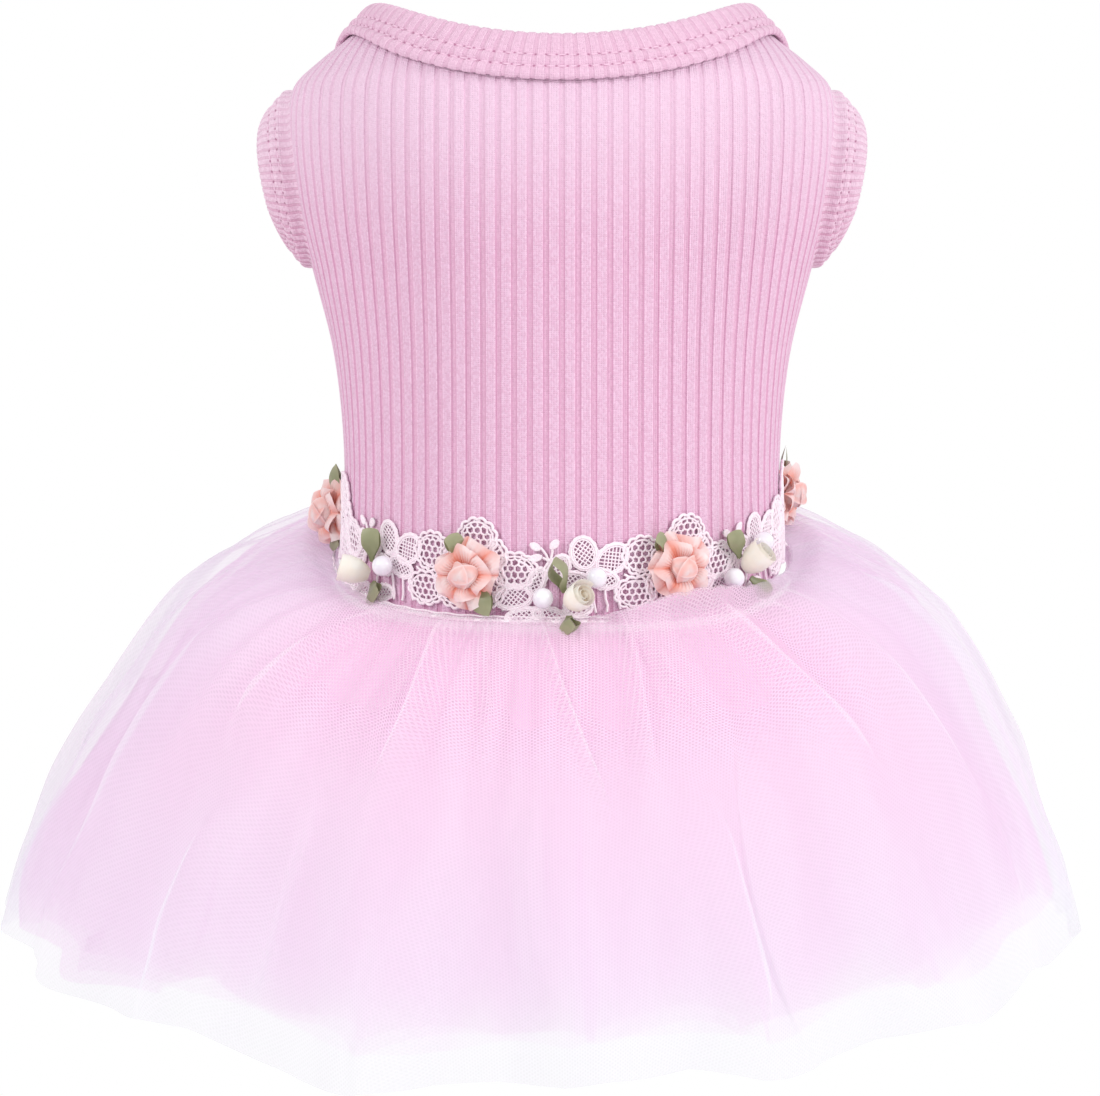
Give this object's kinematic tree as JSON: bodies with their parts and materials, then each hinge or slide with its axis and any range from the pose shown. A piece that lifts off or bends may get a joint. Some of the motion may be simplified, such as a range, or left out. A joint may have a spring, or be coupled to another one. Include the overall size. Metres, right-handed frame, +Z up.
{
  "type": "dog dress",
  "caption": "Sleeveless ribbed knit dog dress with bound neck and armholes, lace waist trim with ribbon flowers, and a gathered layered tulle skirt open at the belly.",
  "frame": {"origin": "middle of the neck opening, level with the neck seam at the shoulders", "axes": "+Z up the body towards the neck, +X to the right as seen from behind the back panel, +Y from the back panel to the belly"},
  "size_m": [0.2736, 0.1748, 0.2747],
  "materials": {
    "rib_knit": "ribbed knit",
    "rib_binding": "ribbed knit binding with two rows of coverstitch",
    "white_tulle": "sheer hexagonal net",
    "pink_tulle": "sheer hexagonal net",
    "lace": "corded openwork lace",
    "coral_ribbon": "satin ribbon",
    "ivory_ribbon": "satin ribbon",
    "green_ribbon": "satin ribbon",
    "pearl": "pearlescent bead"
  },
  "bodies": {
    "root": {"arm_band_left": "rib_binding", "arm_band_right": "rib_binding", "back_panel": "rib_knit", "bud_left": "ivory_ribbon", "bud_middle": "ivory_ribbon", "bud_right": "ivory_ribbon", "chest_panel": "rib_knit", "lace_trim": "lace", "leaf_bud_left_1": "green_ribbon", "leaf_bud_left_2": "green_ribbon", "leaf_bud_middle_1": "green_ribbon", "leaf_bud_middle_2": "green_ribbon", "leaf_bud_right_1": "green_ribbon", "leaf_bud_right_2": "green_ribbon", "leaf_rose_left_1": "green_ribbon", "leaf_rose_left_2": "green_ribbon", "leaf_rose_left_side_1": "green_ribbon", "leaf_rose_left_side_2": "green_ribbon", "leaf_rose_right_1": "green_ribbon", "leaf_rose_right_side_1": "green_ribbon", "neck_band": "rib_binding", "pearl_left": "pearl", "pearl_middle_high": "pearl", "pearl_middle_low": "pearl", "pearl_right_high": "pearl", "pearl_right_low": "pearl", "rose_left": "coral_ribbon", "rose_left_side": "coral_ribbon", "rose_right": "coral_ribbon", "rose_right_side": "coral_ribbon", "skirt_lower": "pink_tulle", "skirt_middle": "pink_tulle", "skirt_upper": "pink_tulle", "skirt_veil": "white_tulle"}
  },
  "joints": []
}
